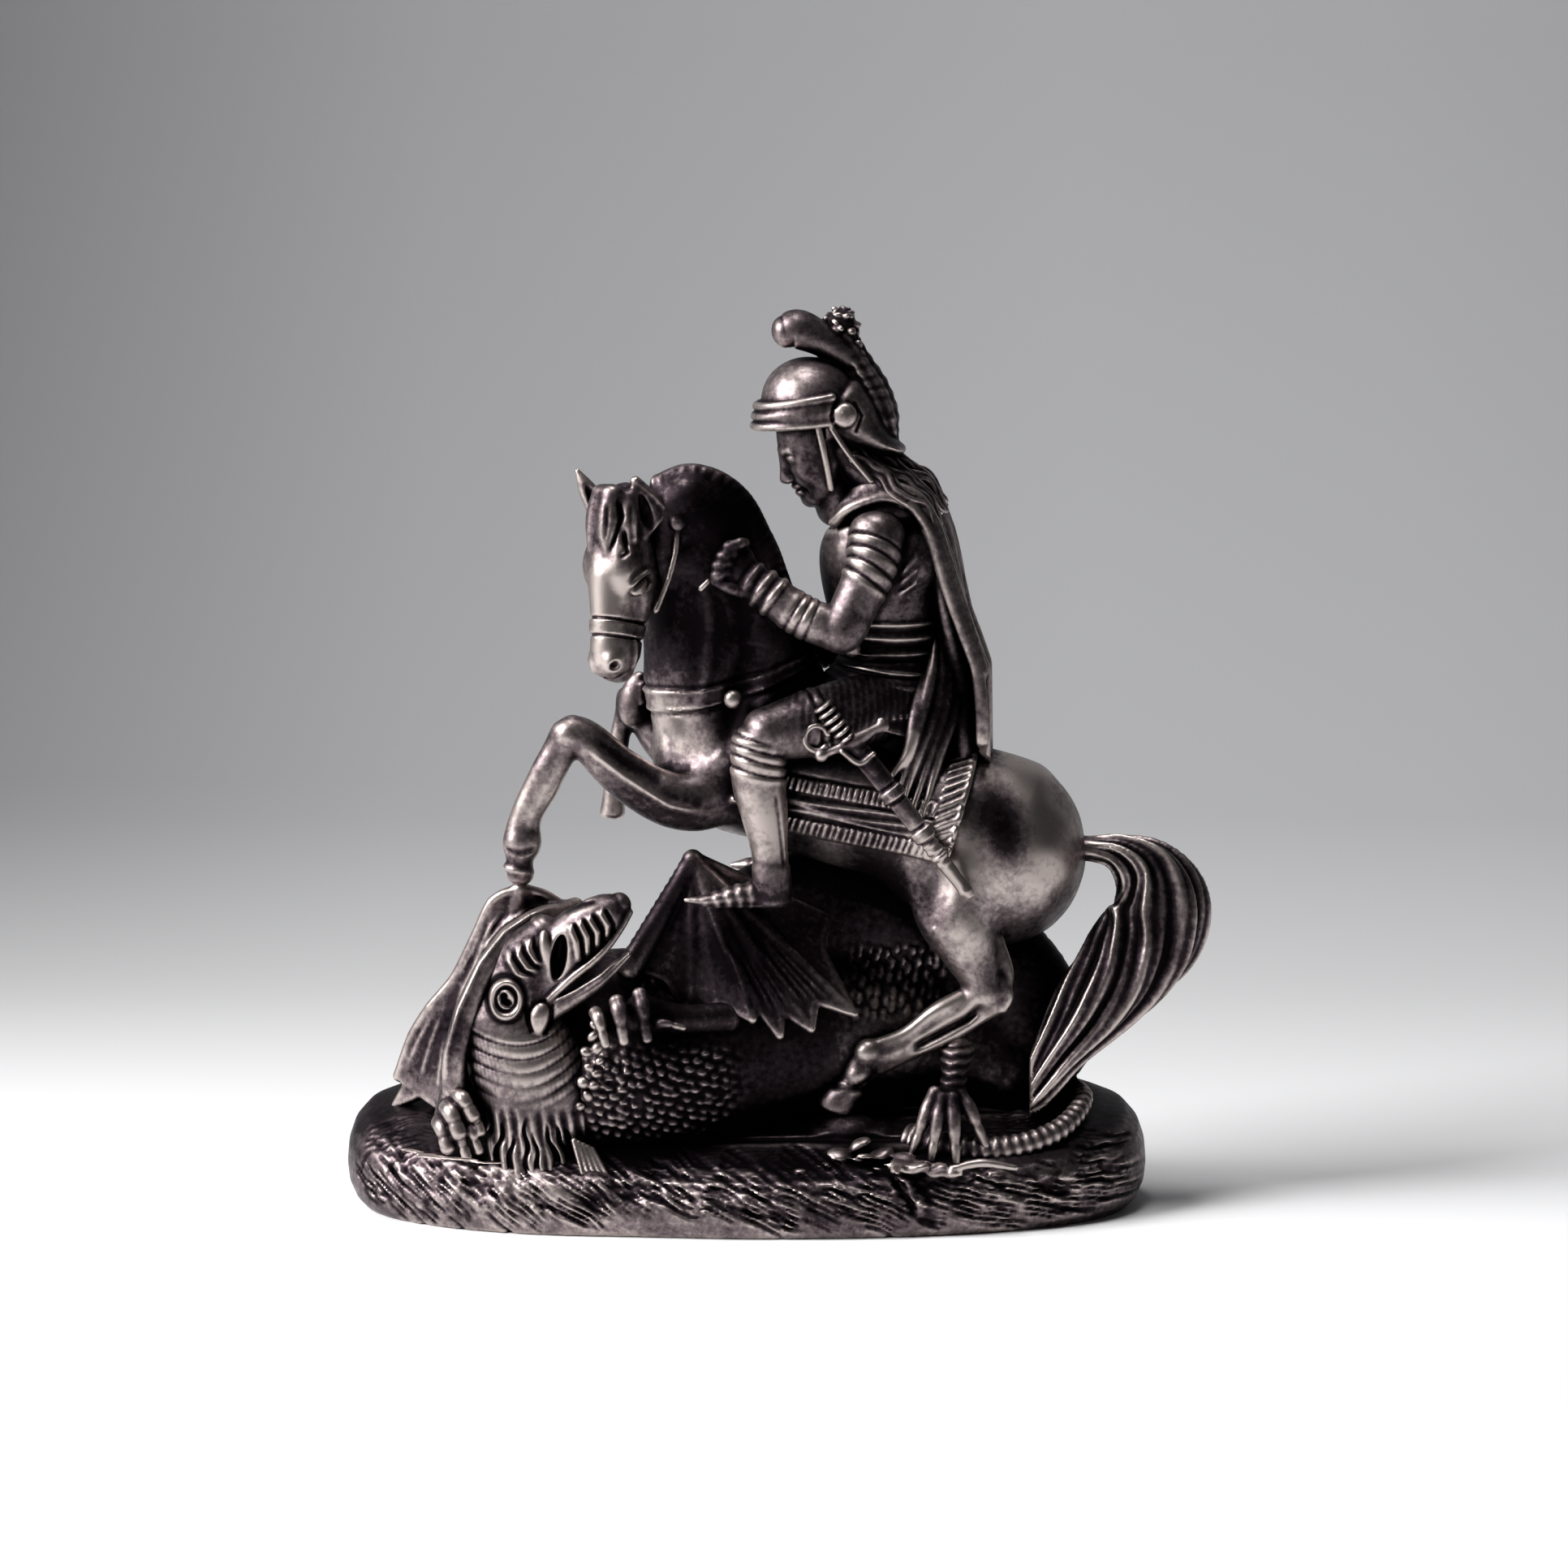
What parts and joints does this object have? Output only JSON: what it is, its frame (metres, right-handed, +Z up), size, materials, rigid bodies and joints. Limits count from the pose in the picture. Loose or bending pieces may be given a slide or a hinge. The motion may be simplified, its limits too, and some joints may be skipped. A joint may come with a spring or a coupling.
{
  "type": "equestrian statuette",
  "caption": "Cast metal statuette of an armoured rider on a rearing horse above a fallen dragon, joined to an oval ground.",
  "frame": {"origin": "middle of the flat underside of the oval ground", "axes": "+Z up, +X from the horse's chest towards its tail, -Y towards the side with the sword"},
  "size_m": [0.1938, 0.0858, 0.2031],
  "materials": {
    "blackened_pewter": "cast metal blackened in the hollows and rubbed bright on the high points"
  },
  "bodies": {
    "root": {"statuette": "blackened_pewter"}
  },
  "joints": []
}
